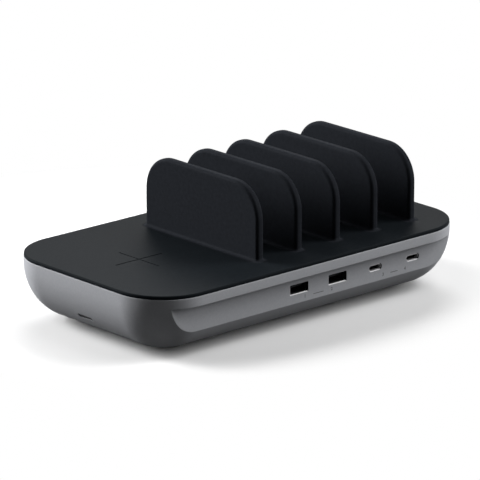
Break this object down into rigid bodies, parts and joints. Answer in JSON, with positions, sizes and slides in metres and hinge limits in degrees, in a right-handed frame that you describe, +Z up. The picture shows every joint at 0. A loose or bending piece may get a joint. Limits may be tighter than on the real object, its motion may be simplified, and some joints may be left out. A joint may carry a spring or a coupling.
{
  "type": "charging station organizer",
  "caption": "Desk charging station with upright dividers for phones and tablets, a flat wireless charging area and USB sockets in a bowl-sided base.",
  "frame": {"origin": "on the table plane below the middle of the case", "axes": "+X along the front from left to right, -Y out of the front panel with the sockets, +Z up"},
  "size_m": [0.2256, 0.1274, 0.0775],
  "materials": {
    "case_grey": "satin metallic paint",
    "soft_black": "soft-touch coating",
    "foot_rubber": "matte",
    "screw_steel": "zinc plated",
    "socket_nickel": "nickel plated",
    "socket_black": "semi gloss",
    "contact_gold": "gold flashed",
    "board_green": "solder mask",
    "sheet_clear": "film",
    "ferrite_dark": "matte",
    "winding_copper": "enamelled copper",
    "capacitor_sleeve": "sleeve",
    "film_yellow": "epoxy filled box",
    "fuse_brown": "moulded can",
    "package_black": "moulded",
    "sink_aluminium": "extruded",
    "light_diffuser": "frosted",
    "led_white": "clear lens",
    "lead_dark": "insulation"
  },
  "bodies": {
    "root": {"lower_case": "case_grey", "top_cover": "soft_black", "divider_1": "soft_black", "divider_2": "soft_black", "divider_3": "soft_black", "divider_4": "soft_black", "divider_5": "soft_black", "foot_front_left": "foot_rubber", "foot_front_right": "foot_rubber", "foot_rear_left": "foot_rubber", "foot_rear_right": "foot_rubber", "case_screws": "screw_steel", "power_board_screws": "screw_steel", "coil_board_screws": "screw_steel", "coil_screws": "screw_steel", "usb_a_shell_1": "socket_nickel", "usb_a_shell_2": "socket_nickel", "usb_c_shell_1": "socket_nickel", "usb_c_shell_2": "socket_nickel", "inlet_pins": "socket_nickel", "usb_a_insulator_1": "socket_black", "usb_a_insulator_2": "socket_black", "usb_c_insulator_1": "socket_black", "usb_c_insulator_2": "socket_black", "mains_inlet": "socket_black", "usb_a_contacts_1": "contact_gold", "usb_a_contacts_2": "contact_gold", "usb_c_contacts_1": "contact_gold", "usb_c_contacts_2": "contact_gold", "port_board": "board_green", "power_board": "board_green", "coil_board": "board_green", "status_board": "board_green", "insulation_sheet": "sheet_clear", "transformer_core": "ferrite_dark", "coil_ferrite": "ferrite_dark", "input_choke": "ferrite_dark", "transformer_winding": "winding_copper", "charging_coil": "winding_copper", "bulk_capacitors": "capacitor_sleeve", "safety_capacitor": "film_yellow", "line_fuse": "fuse_brown", "bridge_rectifier": "package_black", "coil_carrier": "package_black", "heat_sink": "sink_aluminium", "status_light_pipe": "light_diffuser", "status_led": "led_white", "mains_leads": "lead_dark", "output_leads": "lead_dark", "pad_leads": "lead_dark", "coil_leads": "lead_dark", "status_leads": "lead_dark"}
  },
  "joints": []
}
